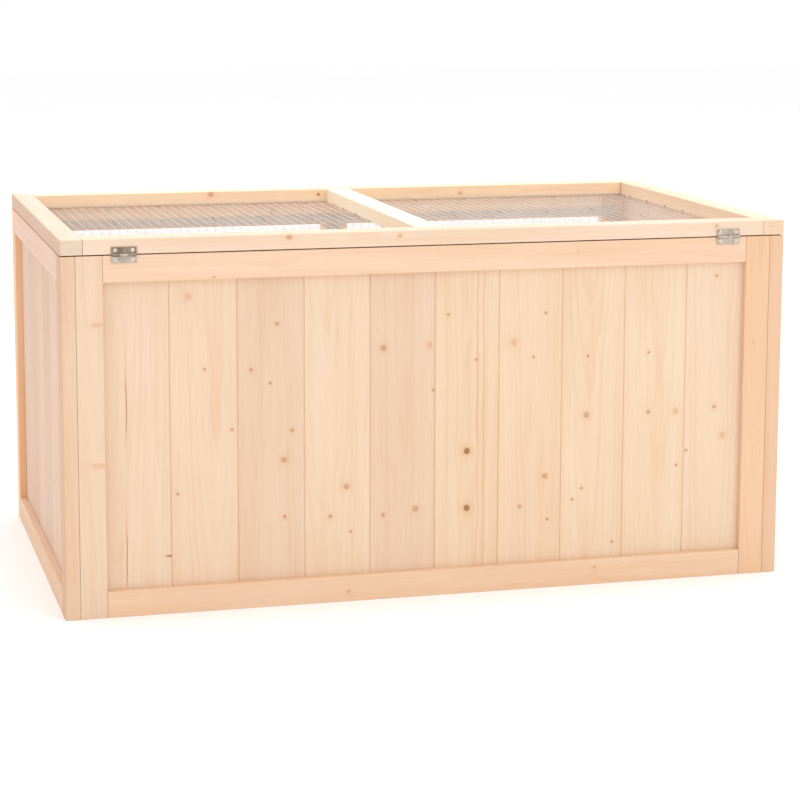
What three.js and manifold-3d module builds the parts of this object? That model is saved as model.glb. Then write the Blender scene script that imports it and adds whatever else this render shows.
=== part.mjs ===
// A low rabbit hutch of bare fir: four framed walls, a floor on ledger battens and a hinged mesh lid.
// Millimetres, +Z up. The base stands on Z = 0, X runs along the hutch, the hinges are on the -Y side.
import * as THREE from "three";
import { mergeGeometries, mergeVertices } from "three/addons/utils/BufferGeometryUtils.js";
import Module from "manifold-3d";

const wasm = await Module();
wasm.setup();

// Driving dimensions: the case
const caseLength = 1000;
const caseDepth = 600;
const caseHeight = 500;

// Frame stock of the walls
const stockThickness = 20;
const stockWidth = 35;
const centreStileWidth = 39;

// Upright tongue-and-groove boards
const boardThickness = 10;
const boardCover = 90;
const rearJointShift = 2;
const rebateWidth = 8;
const tongueLength = 5;
const tongueThickness = 3;
const arris = 0.8;

// Lid
const lidThickness = 20;
const lidGap = 1.5;
const lidSideRailWidth = 30;
const lidRearRailWidth = 40;
const lidFrontRailWidth = 35;
const lidBarWidth = 35;

// Welded wire mesh, drawn as a coarser lattice with the same weight of steel
const wirePitch = 13.6;
const wireDiameter = 0.6;
const wiresPerBar = 5;
const latticeThickness = 1;
const frontMeshLap = 16;
const frontMeshSideLap = 25;
const lidMeshLap = 8;

// Floor panel, held in a groove round the bottom rails
const floorThickness = 6;
const floorHeight = 10;
const floorGrooveDepth = 6;

// Hinges
const hingeWidth = 33;
const hingeInset = 83;
const leafHeight = 8;
const leafThickness = 1;
const pinRadius = 0.8;
const knuckleWall = 0.8;
const knuckleSides = 20;
const pinSides = 16;

// Clearances
const fit = 0.3;
const tonguePlay = 0.5;
const tongueEndPlay = 1;
const pinPlay = 0.2;
const knuckleGap = 0.4;
const meshWallGap = 2;

// Worked out from the sizes above
const halfLength = caseLength / 2;
const halfDepth = caseDepth / 2;
const wallTop = caseHeight - lidThickness - lidGap;
const lidUnderside = caseHeight - lidThickness;
const innerHalfLength = halfLength - stockThickness;
const innerHalfDepth = halfDepth - stockThickness;
const grooveDepth = tongueLength + tongueEndPlay;
const grooveThickness = tongueThickness + 2 * tonguePlay;
const knuckleBore = pinRadius + pinPlay;
const knuckleRadius = knuckleBore + knuckleWall;

const wood = (colour) => new THREE.MeshStandardMaterial({ color: colour, roughness: 0.7, metalness: 0 });
const steel = (colour, roughness) =>
  new THREE.MeshStandardMaterial({ color: colour, roughness, metalness: 1 });
const frameWood = wood(0xfad9b6);
const boardWood = wood(0xf4d6b6);
const lidWood = wood(0xfde9d2);
const plywood = wood(0xe3c69c);
const hingeSteel = steel(0xa8a296, 0.35);
const meshSteel = steel(0xb9b9be, 0.4);

const hutch = new THREE.Group();
const lid = new THREE.Group();
hutch.add(lid);

function addPiece(group, name, geometry, material) {
  const mesh = new THREE.Mesh(geometry, material.clone());
  mesh.name = name;
  group.add(mesh);
  return mesh;
}

// A box between two opposite corners.
function boxBetween(low, high) {
  const box = new THREE.BoxGeometry(high[0] - low[0], high[1] - low[1], high[2] - low[2]);
  return box.translate((low[0] + high[0]) / 2, (low[1] + high[1]) / 2, (low[2] + high[2]) / 2);
}

// A closed geometry as a solid that can be cut and joined.
function solidFrom(geometry) {
  const bare = geometry.clone();
  bare.deleteAttribute("normal");
  bare.deleteAttribute("uv");
  const merged = mergeVertices(bare, 1e-4);
  return new wasm.Manifold(
    new wasm.Mesh({
      numProp: 3,
      vertProperties: new Float32Array(merged.attributes.position.array),
      triVerts: new Uint32Array(merged.index.array),
    }),
  );
}

function geometryFrom(solid) {
  const mesh = solid.getMesh();
  const geometry = new THREE.BufferGeometry();
  geometry.setAttribute("position", new THREE.BufferAttribute(new Float32Array(mesh.vertProperties), 3));
  geometry.setIndex(new THREE.BufferAttribute(new Uint32Array(mesh.triVerts), 1));
  geometry.computeVertexNormals();
  return geometry;
}

const cut = (geometry, tool) => geometryFrom(solidFrom(geometry).subtract(solidFrom(tool)));

// A wall is drawn lying along U (its length), T (outer face 0 to inner face stockThickness) and Z, and
// placed turns those into X, Y and Z for the side of the hutch it stands on.
const placed = {
  rear: (geometry) => geometry.translate(0, -halfDepth, 0),
  front: (geometry) => geometry.rotateZ(Math.PI).translate(0, halfDepth, 0),
  left: (geometry) => geometry.rotateZ(-Math.PI / 2).translate(-halfLength, 0, 0),
  right: (geometry) => geometry.rotateZ(Math.PI / 2).translate(halfLength, 0, 0),
};

// The block of space that the floor panel takes, grown by a clearance all round.
function floorSpace(clearance) {
  const x = innerHalfLength + floorGrooveDepth - fit + clearance;
  const y = innerHalfDepth + floorGrooveDepth - fit + clearance;
  const z = [floorHeight - clearance, floorHeight + floorThickness + clearance];
  return boxBetween([-x, -y, z[0]], [x, y, z[1]]);
}

// The two stiles and two rails of a wall. The recess is a stopped rebate round their opening, on the
// inner face, for the boards. All four are grooved for the floor panel where they meet it.
function wallFrame(side, halfWidth, withRebate) {
  const openingHalf = halfWidth - stockWidth;
  const recess = boxBetween(
    [-openingHalf - rebateWidth, stockThickness - boardThickness, stockWidth - rebateWidth],
    [openingHalf + rebateWidth, stockThickness + fit, wallTop - stockWidth + rebateWidth],
  );
  const members = {
    stile_a: boxBetween([-halfWidth, 0, 0], [-openingHalf - fit / 2, stockThickness, wallTop]),
    stile_b: boxBetween([openingHalf + fit / 2, 0, 0], [halfWidth, stockThickness, wallTop]),
    top_rail: boxBetween(
      [-openingHalf + fit / 2, 0, wallTop - stockWidth],
      [openingHalf - fit / 2, stockThickness, wallTop],
    ),
    bottom_rail: boxBetween([-openingHalf + fit / 2, 0, 0], [openingHalf - fit / 2, stockThickness, stockWidth]),
  };
  for (const [name, geometry] of Object.entries(members)) {
    const rebated = withRebate ? cut(geometry, recess) : geometry;
    members[name] = cut(placed[side](rebated), floorSpace(fit));
  }
  return members;
}

// The section of one board, from its left edge to its right edge, with a groove on the left unless it
// is the first and a tongue on the right unless it is the last.
function boardSection(left, right, isFirst, isLast) {
  const outer = stockThickness - boardThickness;
  const inner = stockThickness;
  const middle = (outer + inner) / 2;
  const section = new THREE.Shape();
  if (isFirst) {
    section.moveTo(left, inner);
    section.lineTo(left, outer);
  } else {
    section.moveTo(left, inner);
    section.lineTo(left, middle + grooveThickness / 2);
    section.lineTo(left + grooveDepth, middle + grooveThickness / 2);
    section.lineTo(left + grooveDepth, middle - grooveThickness / 2);
    section.lineTo(left, middle - grooveThickness / 2);
    section.lineTo(left, outer + arris);
    section.lineTo(left + arris, outer);
  }
  if (isLast) {
    section.lineTo(right, outer);
    section.lineTo(right, inner);
  } else {
    section.lineTo(right - arris, outer);
    section.lineTo(right, outer + arris);
    section.lineTo(right, middle - tongueThickness / 2);
    section.lineTo(right + tongueLength, middle - tongueThickness / 2);
    section.lineTo(right + tongueLength, middle + tongueThickness / 2);
    section.lineTo(right, middle + tongueThickness / 2);
    section.lineTo(right, inner);
  }
  section.closePath();
  return section;
}

// The boards that fill a wall. Their joints are a cover width apart, counted from the wall's middle
// plus shift, and the two end boards are ripped to fit the rebates.
function wallBoards(side, halfWidth, shift) {
  const rebateHalf = halfWidth - stockWidth + rebateWidth - fit;
  const count = Math.ceil((2 * (halfWidth - stockWidth)) / boardCover);
  const low = stockWidth - rebateWidth + fit;
  const high = wallTop - stockWidth + rebateWidth - fit;
  const joint = (k) => shift + (k - count / 2) * boardCover;
  return Array.from({ length: count }, (_, k) => {
    const isFirst = k === 0;
    const isLast = k === count - 1;
    const left = isFirst ? -rebateHalf : joint(k) + fit / 2;
    const right = isLast ? rebateHalf : joint(k + 1) - fit / 2;
    const section = boardSection(left, right, isFirst, isLast);
    const board = new THREE.ExtrudeGeometry(section, { depth: high - low, bevelEnabled: false });
    return placed[side](board.translate(0, 0, low));
  });
}

// A boarded wall: its frame and its boards, each a node named for the wall.
function addBoardedWall(side, halfWidth, stileNames, shift) {
  const members = wallFrame(side, halfWidth, true);
  addPiece(hutch, `${side}_${stileNames[0]}`, members.stile_a, frameWood);
  addPiece(hutch, `${side}_${stileNames[1]}`, members.stile_b, frameWood);
  addPiece(hutch, `${side}_top_rail`, members.top_rail, frameWood);
  addPiece(hutch, `${side}_bottom_rail`, members.bottom_rail, frameWood);
  wallBoards(side, halfWidth, shift).forEach((board, k) =>
    addPiece(hutch, `${side}_board_${k + 1}`, board, boardWood),
  );
}

// A sheet of mesh between two opposite corners (u, v): flat bars with square holes, drawn flat from
// T = 0 to latticeThickness.
function meshLattice(low, high) {
  const barWidth = (wiresPerBar * Math.PI * wireDiameter ** 2) / 4 / latticeThickness;
  const cells = [0, 1].map((i) => Math.round((high[i] - low[i]) / (wiresPerBar * wirePitch)));
  const cell = [0, 1].map((i) => (high[i] - low[i] - barWidth) / cells[i]);
  const holes = [];
  for (let i = 0; i < cells[0]; i++)
    for (let j = 0; j < cells[1]; j++) {
      const u = low[0] + barWidth + i * cell[0];
      const v = low[1] + barWidth + j * cell[1];
      const farU = u + cell[0] - barWidth;
      const farV = v + cell[1] - barWidth;
      holes.push(boxBetween([u, v, -latticeThickness], [farU, farV, 2 * latticeThickness]));
    }
  return cut(boxBetween([...low, 0], [...high, latticeThickness]), mergeGeometries(holes));
}

// The front wall: a frame with a centre stile, and two sheets of mesh on its inner face that overlap
// by one wire pitch on the centre stile, the right one on top.
function addFrontWall() {
  const members = wallFrame("front", innerHalfLength - fit, false);
  addPiece(hutch, "front_right_stile", members.stile_a, frameWood);
  addPiece(hutch, "front_left_stile", members.stile_b, frameWood);
  addPiece(hutch, "front_top_rail", members.top_rail, frameWood);
  addPiece(hutch, "front_bottom_rail", members.bottom_rail, frameWood);
  const centreStile = boxBetween(
    [-centreStileWidth / 2, 0, stockWidth + fit],
    [centreStileWidth / 2, stockThickness, wallTop - stockWidth - fit],
  );
  addPiece(hutch, "front_centre_stile", placed.front(centreStile), frameWood);

  const openingHalf = innerHalfLength - fit - stockWidth;
  const low = stockWidth - frontMeshLap;
  const high = wallTop - stockWidth + frontMeshLap;
  const outerEdge = openingHalf + frontMeshSideLap;
  const standing = (sheet, layer) =>
    sheet.rotateX(Math.PI / 2).translate(0, innerHalfDepth - fit - layer * (latticeThickness + fit), 0);
  const left = meshLattice([-outerEdge, low], [wirePitch / 2, high]);
  const right = meshLattice([-wirePitch / 2, low], [outerEdge, high]);
  addPiece(hutch, "front_mesh_left", standing(left, 0), meshSteel);
  addPiece(hutch, "front_mesh_right", standing(right, 1), meshSteel);
}

// The lid: side rails of full depth, rear and front rails and a bar between them, mesh underneath.
function addLid() {
  const z = [lidUnderside, caseHeight];
  const railEnd = halfLength - lidSideRailWidth - fit;
  const windowRear = lidRearRailWidth - halfDepth;
  const windowFront = halfDepth - lidFrontRailWidth;
  const rails = {
    lid_left_rail: [[-halfLength, -halfDepth], [lidSideRailWidth - halfLength, halfDepth]],
    lid_right_rail: [[halfLength - lidSideRailWidth, -halfDepth], [halfLength, halfDepth]],
    lid_rear_rail: [[-railEnd, -halfDepth], [railEnd, windowRear]],
    lid_front_rail: [[-railEnd, windowFront], [railEnd, halfDepth]],
    lid_centre_bar: [[-lidBarWidth / 2, windowRear + fit], [lidBarWidth / 2, windowFront - fit]],
  };
  for (const [name, [low, high]] of Object.entries(rails))
    addPiece(lid, name, boxBetween([...low, z[0]], [...high, z[1]]), lidWood);

  const endEdge = innerHalfLength - meshWallGap;
  const sideEdge = innerHalfDepth - meshWallGap;
  const barEdge = lidBarWidth / 2 - lidMeshLap;
  const under = (sheet) => sheet.translate(0, 0, lidUnderside - fit - latticeThickness);
  const left = meshLattice([-endEdge, -sideEdge], [-barEdge, sideEdge]);
  const right = meshLattice([barEdge, -sideEdge], [endEdge, sideEdge]);
  addPiece(lid, "lid_mesh_left", under(left), meshSteel);
  addPiece(lid, "lid_mesh_right", under(right), meshSteel);
}

// A cylinder along X between two ends.
function rodAlongX(radius, from, to, sides) {
  const rod = new THREE.CylinderGeometry(radius, radius, to - from, sides);
  return rod.rotateZ(-Math.PI / 2).translate((from + to) / 2, 0, 0);
}

// One butt hinge on the rear face, drawn round its own axis: the wall leaf has the middle knuckle and
// the lid leaf the two end ones.
function addHinge(side, centreX) {
  const axisY = -halfDepth - fit - knuckleRadius;
  const axisZ = wallTop + lidGap / 2;
  const plateY = [knuckleRadius - leafThickness, knuckleRadius];
  const half = hingeWidth / 2;
  const third = hingeWidth / 6;
  const bore = solidFrom(rodAlongX(knuckleBore, -hingeWidth, hingeWidth, knuckleSides));
  const leaf = (spans, up) => {
    const near = knuckleRadius + knuckleGap;
    const far = near + leafHeight;
    const zSpan = (from, to) => (up ? [from, to] : [-to, -from]);
    const [plateLow, plateHigh] = zSpan(near, far);
    let solid = solidFrom(boxBetween([-half, plateY[0], plateLow], [half, plateY[1], plateHigh]));
    for (const [from, to] of spans) {
      const [linkLow, linkHigh] = zSpan(knuckleBore / 2, near + leafThickness);
      solid = solid.add(solidFrom(boxBetween([from, plateY[0], linkLow], [to, plateY[1], linkHigh])));
      solid = solid.add(solidFrom(rodAlongX(knuckleRadius, from, to, knuckleSides)));
    }
    return geometryFrom(solid.subtract(bore)).translate(centreX, axisY, axisZ);
  };
  const wallLeaf = leaf([[-third + knuckleGap / 2, third - knuckleGap / 2]], false);
  const lidLeaf = leaf([[-half, -third - knuckleGap / 2], [third + knuckleGap / 2, half]], true);
  const pin = rodAlongX(pinRadius, -half, half, pinSides).translate(centreX, axisY, axisZ);
  addPiece(hutch, `hinge_${side}_wall_leaf`, wallLeaf, hingeSteel);
  addPiece(lid, `hinge_${side}_lid_leaf`, lidLeaf, hingeSteel);
  addPiece(hutch, `hinge_${side}_pin`, pin, hingeSteel);
}

addBoardedWall("rear", innerHalfLength - fit, ["left_stile", "right_stile"], rearJointShift);
addBoardedWall("left", halfDepth, ["front_stile", "rear_stile"], 0);
addBoardedWall("right", halfDepth, ["rear_stile", "front_stile"], 0);
addFrontWall();
addPiece(hutch, "floor_panel", floorSpace(0), plywood);
addLid();
addHinge("left", hingeInset - halfLength);
addHinge("right", halfLength - hingeInset);

export default hutch;
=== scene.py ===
import math
import random

import bmesh
import bpy
from mathutils import Matrix, Vector


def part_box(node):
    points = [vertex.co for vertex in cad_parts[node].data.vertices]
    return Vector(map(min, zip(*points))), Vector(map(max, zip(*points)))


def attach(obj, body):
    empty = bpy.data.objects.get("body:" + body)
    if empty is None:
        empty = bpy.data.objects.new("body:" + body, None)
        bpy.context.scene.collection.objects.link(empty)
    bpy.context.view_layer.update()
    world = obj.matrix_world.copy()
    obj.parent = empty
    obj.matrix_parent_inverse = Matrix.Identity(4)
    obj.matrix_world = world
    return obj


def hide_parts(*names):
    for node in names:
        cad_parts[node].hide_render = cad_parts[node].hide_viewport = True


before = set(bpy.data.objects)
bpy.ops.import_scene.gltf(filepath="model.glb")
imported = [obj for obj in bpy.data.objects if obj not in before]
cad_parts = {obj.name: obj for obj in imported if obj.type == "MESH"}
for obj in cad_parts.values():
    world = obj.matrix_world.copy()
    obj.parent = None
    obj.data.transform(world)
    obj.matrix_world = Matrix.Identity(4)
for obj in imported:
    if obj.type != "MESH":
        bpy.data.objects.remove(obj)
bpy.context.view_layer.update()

scene = bpy.context.scene
millimetre = 0.001


# small helpers for colours and nodes

def tone(red, green, blue):
    # screen colour, 0 to 255, as the linear values that the shaders take
    def toLinear(value):
        value = value / 255
        if value <= 0.04045:
            return value / 12.92
        return ((value + 0.055) / 1.055) ** 2.4
    return (toLinear(red), toLinear(green), toLinear(blue), 1)


def addNode(tree, kind, column=0, row=0, **settings):
    node = tree.nodes.new(kind)
    node.location = (column * 190, row * -170)
    for key, value in settings.items():
        setattr(node, key, value)
    return node


def feed(tree, target, value):
    # a socket is linked, anything else becomes the target's own value
    if isinstance(value, bpy.types.NodeSocket):
        tree.links.new(value, target)
    elif value is not None:
        target.default_value = value


def doMath(tree, operation, first, second=None, third=None, column=0, row=0, clamp=False):
    node = addNode(tree, "ShaderNodeMath", column, row, operation=operation, use_clamp=clamp)
    for socket, value in zip(node.inputs, (first, second, third)):
        feed(tree, socket, value)
    return node.outputs[0]


def doVector(tree, operation, first, second=None, column=0, row=0):
    node = addNode(tree, "ShaderNodeVectorMath", column, row, operation=operation)
    feed(tree, node.inputs[0], first)
    feed(tree, node.inputs[1], second)
    return node.outputs[0]


def joinXYZ(tree, across, along, above, column=0, row=0):
    node = addNode(tree, "ShaderNodeCombineXYZ", column, row)
    for socket, value in zip(node.inputs, (across, along, above)):
        feed(tree, socket, value)
    return node.outputs[0]


def splitXYZ(tree, vector, column=0, row=0):
    node = addNode(tree, "ShaderNodeSeparateXYZ", column, row)
    feed(tree, node.inputs[0], vector)
    return node.outputs


def addNoise(tree, vector, scale, detail=2.0, roughness=0.5, column=0, row=0):
    node = addNode(tree, "ShaderNodeTexNoise", column, row, noise_dimensions="3D")
    feed(tree, node.inputs["Vector"], vector)
    node.inputs["Scale"].default_value = scale
    node.inputs["Detail"].default_value = detail
    node.inputs["Roughness"].default_value = roughness
    return node.outputs["Fac"]


def remap(tree, value, fromLow, fromHigh, toLow=0.0, toHigh=1.0, smooth=True, column=0, row=0):
    node = addNode(tree, "ShaderNodeMapRange", column, row)
    node.interpolation_type = "SMOOTHSTEP" if smooth else "LINEAR"
    for socket, number in zip(node.inputs, (value, fromLow, fromHigh, toLow, toHigh)):
        feed(tree, socket, number)
    return node.outputs[0]


def mixColour(tree, amount, first, second, blend="MIX", column=0, row=0):
    node = addNode(tree, "ShaderNodeMix", column, row, data_type="RGBA", blend_type=blend)
    feed(tree, node.inputs[0], amount)
    feed(tree, node.inputs[6], first)
    feed(tree, node.inputs[7], second)
    return node.outputs[2]


def newGroup(name, inputs, outputs):
    tree = bpy.data.node_groups.new(name, "ShaderNodeTree")
    for label, kind in inputs:
        tree.interface.new_socket(label, in_out="INPUT", socket_type="NodeSocket" + kind)
    for label, kind in outputs:
        tree.interface.new_socket(label, in_out="OUTPUT", socket_type="NodeSocket" + kind)
    entry = addNode(tree, "NodeGroupInput", -6)
    leave = addNode(tree, "NodeGroupOutput", 12)
    return tree, entry.outputs, leave.inputs


def newMaterial(name):
    material = bpy.data.materials.new(name)
    material.use_nodes = True
    tree = material.node_tree
    tree.nodes.clear()
    shader = addNode(tree, "ShaderNodeBsdfPrincipled", 8)
    output = addNode(tree, "ShaderNodeOutputMaterial", 10)
    tree.links.new(shader.outputs[0], output.inputs[0])
    return material, tree, shader


def addBump(tree, shader, height, strength, distance):
    bump = addNode(tree, "ShaderNodeBump", 6, 3)
    bump.inputs["Strength"].default_value = strength
    bump.inputs["Distance"].default_value = distance * millimetre
    feed(tree, bump.inputs["Height"], height)
    feed(tree, shader.inputs["Normal"], bump.outputs[0])


# camera, low and a little to the left of the hinge side

cameraPlace = {
    "spot": (-0.84286, -3.25159, 0.86113),  # metres
    "turn": 15.04,  # degrees, to the right of straight on
    "tilt": 8.54,  # degrees, looking down
    "roll": 0.18,  # degrees
    "lens": 104.66,  # millimetres
    "shiftY": -0.12,
    "reach": 60,  # metres that the camera sees
}


def addCamera():
    turn = math.radians(cameraPlace["turn"])
    tilt = math.radians(cameraPlace["tilt"])
    roll = math.radians(cameraPlace["roll"])
    ahead = Vector((math.sin(turn) * math.cos(tilt), math.cos(turn) * math.cos(tilt), -math.sin(tilt)))
    right = Vector((math.cos(turn), -math.sin(turn), 0))
    above = right.cross(ahead)
    cameraX = right * math.cos(roll) + above * math.sin(roll)
    cameraY = above * math.cos(roll) - right * math.sin(roll)
    data = bpy.data.cameras.new("hutchCamera")
    data.lens = cameraPlace["lens"]
    data.shift_y = cameraPlace["shiftY"]
    data.clip_end = cameraPlace["reach"]
    camera = bpy.data.objects.new("hutchCamera", data)
    axes = Matrix((cameraX, cameraY, -ahead)).transposed()
    camera.matrix_world = Matrix.Translation(cameraPlace["spot"]) @ axes.to_4x4()
    scene.collection.objects.link(camera)
    scene.camera = camera


addCamera()
print("camera set")


# fir: growth rings round a pith line, bent by knots

def buildKnotGroup():
    tree, given, result = newGroup(
        "firKnot",
        [("Grain", "Vector"), ("Spot", "Vector"), ("Size", "Vector"), ("Depth", "Float"),
         ("Dark", "Float"), ("Halo", "Float")],
        [("Grain", "Vector"), ("Dark", "Float"), ("Halo", "Float")],
    )
    away = doVector(tree, "SUBTRACT", given["Grain"], given["Spot"], -5)
    ragged = doVector(tree, "SCALE", given["Grain"], None, -5, 2)
    ragged.node.inputs[3].default_value = 1
    wobble = addNoise(tree, ragged, 260, 2, 0.6, -4, 2)
    wobble = remap(tree, wobble, 0.2, 0.8, -0.12, 0.12, False, -3, 2)
    flat = splitXYZ(tree, away, -4)
    size = splitXYZ(tree, given["Size"], -4, 1)
    # long streaks waver with the grain
    slowSpot = doVector(tree, "MULTIPLY", given["Grain"], (11.0, 4.0, 4.0), -5, 4)
    waver = remap(tree, addNoise(tree, slowSpot, 1.0, 1, 0.5, -4, 4), 0.2, 0.8, -0.0015, 0.0015, False, -3, 4)
    wavered = doMath(tree, "ADD", flat[1], waver, None, -3, 5)
    alongShare = doMath(tree, "DIVIDE", flat[0], size[0], None, -3)
    acrossShare = doMath(tree, "DIVIDE", wavered, size[1], None, -3, 1)
    alongSquare = doMath(tree, "MULTIPLY", alongShare, alongShare, None, -2)
    acrossSquare = doMath(tree, "MULTIPLY", acrossShare, acrossShare, None, -2, 1)
    reach = doMath(tree, "SQRT", doMath(tree, "ADD", alongSquare, acrossSquare, None, -1), None, None, 0)
    ragReach = doMath(tree, "ADD", reach, wobble, None, 1)
    # the grain lines swing round the knot, further along the grain than across it
    slow = doMath(tree, "MULTIPLY", alongSquare, 0.07, None, 0, 2)
    wide = doMath(tree, "MULTIPLY", acrossSquare, 0.16, None, 0, 3)
    swing = doMath(tree, "EXPONENT", doMath(tree, "MULTIPLY", doMath(tree, "ADD", slow, wide), -1.0))
    pull = doMath(tree, "MULTIPLY", doMath(tree, "MULTIPLY", flat[1], swing), -0.6)
    pull = doMath(tree, "MULTIPLY", pull, doMath(tree, "MINIMUM", given["Depth"], 1.0))
    bent = doVector(tree, "ADD", given["Grain"], joinXYZ(tree, 0, pull, 0, 3, 3), 4, 3)
    # a dark edge, a browner middle and a warm halo outside
    core = remap(tree, ragReach, 1.2, 0.3, 0, 1, True, 3)
    fromRim = doMath(tree, "ABSOLUTE", doMath(tree, "SUBTRACT", ragReach, 0.65))
    edge = remap(tree, fromRim, 0.5, 0.0, 0.62, 1.0, True)
    dark = doMath(tree, "MULTIPLY", doMath(tree, "MULTIPLY", core, edge), given["Depth"], None, 5)
    ragSquare = doMath(tree, "MULTIPLY", ragReach, ragReach)
    haloFall = doMath(tree, "EXPONENT", doMath(tree, "MULTIPLY", ragSquare, -0.4))
    halo = doMath(tree, "MULTIPLY", haloFall, given["Depth"], None, 5, 1)
    feed(tree, result["Grain"], bent)
    feed(tree, result["Dark"], doMath(tree, "MAXIMUM", given["Dark"], dark, None, 7))
    feed(tree, result["Halo"], doMath(tree, "MAXIMUM", given["Halo"], halo, None, 7, 1))
    return tree


def buildFirGroup():
    tree, given, result = newGroup(
        "firGrain",
        [("Grain", "Vector"), ("Pith", "Vector"), ("RingGap", "Float"), ("Wander", "Float"),
         ("Seed", "Float"), ("Pale", "Color"), ("Late", "Color"), ("KnotTone", "Color"),
         ("Lines", "Float"), ("Mottle", "Float"), ("Dark", "Float"), ("Halo", "Float"), ("Edge", "Float"),
         ("End", "Float")],
        [("Color", "Color"), ("Roughness", "Float"), ("Height", "Float")],
    )
    seed = given["Seed"]
    place = doVector(tree, "ADD", given["Grain"], joinXYZ(tree, seed, seed, seed, -5, 3), -4, 3)
    longSlow = doVector(tree, "MULTIPLY", place, (3.2, 6.0, 6.0), -3, 3)
    longFast = doVector(tree, "MULTIPLY", place, (13.0, 34.0, 34.0), -3, 4)
    sideways = remap(tree, addNoise(tree, longSlow, 1.0, 2, 0.5), 0.2, 0.8, -1, 1, False)
    shifted = doVector(tree, "ADD", longSlow, (7.3, 2.1, 5.7))
    inward = remap(tree, addNoise(tree, shifted, 1.6, 2, 0.5), 0.2, 0.8, -1, 1, False)
    ripple = remap(tree, addNoise(tree, longFast, 1.0, 1, 0.5), 0.2, 0.8, -0.22, 0.22, False)
    spot = splitXYZ(tree, given["Grain"], -3)
    pith = splitXYZ(tree, given["Pith"], -3, 1)
    # the pith leans by its first value for each metre of length
    lean = doMath(tree, "MULTIPLY", spot[0], pith[0])
    across = doMath(tree, "SUBTRACT", spot[1], pith[1])
    across = doMath(tree, "ADD", across, doMath(tree, "MULTIPLY", sideways, given["Wander"]))
    deep = doMath(tree, "SUBTRACT", doMath(tree, "SUBTRACT", spot[2], pith[2]), lean)
    deep = doMath(tree, "ADD", deep, doMath(tree, "MULTIPLY", inward, given["Wander"]))
    acrossSquare = doMath(tree, "MULTIPLY", across, across)
    ringSquare = doMath(tree, "ADD", acrossSquare, doMath(tree, "MULTIPLY", deep, deep))
    ringCount = doMath(tree, "DIVIDE", doMath(tree, "SQRT", ringSquare), given["RingGap"])
    ringCount = doMath(tree, "ADD", ringCount, ripple, None, 1)
    ringShare = doMath(tree, "FRACT", ringCount, None, None, 2)
    seedStep = doMath(tree, "MULTIPLY", seed, 13.7)
    ringNumber = doMath(tree, "ADD", doMath(tree, "FLOOR", ringCount), seedStep)
    chance = addNode(tree, "ShaderNodeTexWhiteNoise", 3, 1, noise_dimensions="1D")
    feed(tree, chance.inputs["W"], ringNumber)
    ringWeight = remap(tree, chance.outputs["Value"], 0.15, 1.0, 0.12, 1.0, True, 4, 1)
    lateWood = remap(tree, ringShare, 0.35, 0.93, 0, 1, True, 3)
    shutOff = remap(tree, ringShare, 1.0, 0.86, 0, 1, True, 3)
    lineMask = doMath(tree, "MULTIPLY", doMath(tree, "MULTIPLY", lateWood, shutOff), ringWeight, None, 5)
    lineMask = doMath(tree, "MULTIPLY", lineMask, given["Lines"], None, 6)
    colour = mixColour(tree, lineMask, given["Pale"], given["Late"], "MIX", 6)
    # slow drift of colour, broad streaks along the grain, then single fibres
    streakSpot = doVector(tree, "MULTIPLY", place, (2.2, 55.0, 55.0))
    streak = addNoise(tree, streakSpot, 1.0, 3, 0.6)
    fibreSpot = doVector(tree, "MULTIPLY", place, (26.0, 1150.0, 1150.0))
    fibre = addNoise(tree, fibreSpot, 1.0, 2, 0.6)
    drift = addNoise(tree, longSlow, 1.3, 1, 0.5)
    driftTone = mixColour(tree, remap(tree, drift, 0.25, 0.75), (1.0, 1.0, 1.0, 1), (0.965, 0.935, 0.90, 1))
    streakTone = mixColour(tree, remap(tree, streak, 0.35, 0.8), (1.0, 1.0, 1.0, 1), (0.955, 0.885, 0.80, 1))
    fibreTone = mixColour(tree, remap(tree, fibre, 0.3, 0.85), (1.02, 1.02, 1.02, 1), (0.93, 0.905, 0.875, 1))
    colour = mixColour(tree, given["Mottle"], colour, driftTone, "MULTIPLY", 7)
    colour = mixColour(tree, given["Mottle"], colour, streakTone, "MULTIPLY", 8)
    colour = mixColour(tree, 0.8, colour, fibreTone, "MULTIPLY", 9)
    warm = doMath(tree, "MULTIPLY", given["Halo"], 0.62)
    colour = mixColour(tree, warm, colour, given["Late"], "MIX", 9)
    # painted shade near joints and on shaded outer faces, mixed toward the late tone
    colour = mixColour(tree, given["Edge"], colour, given["Late"], "MIX", 10)
    # shallow knots only redden the wood, deep ones go on to brown
    redden = doMath(tree, "MULTIPLY", remap(tree, given["Dark"], 0.0, 0.5, 0, 1, False), 0.62)
    colour = mixColour(tree, redden, colour, tone(204, 146, 106), "MIX", 10)
    brown = remap(tree, given["Dark"], 0.3, 1.0, 0, 1, False)
    colour = mixColour(tree, brown, colour, given["KnotTone"], "MIX", 10)
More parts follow.
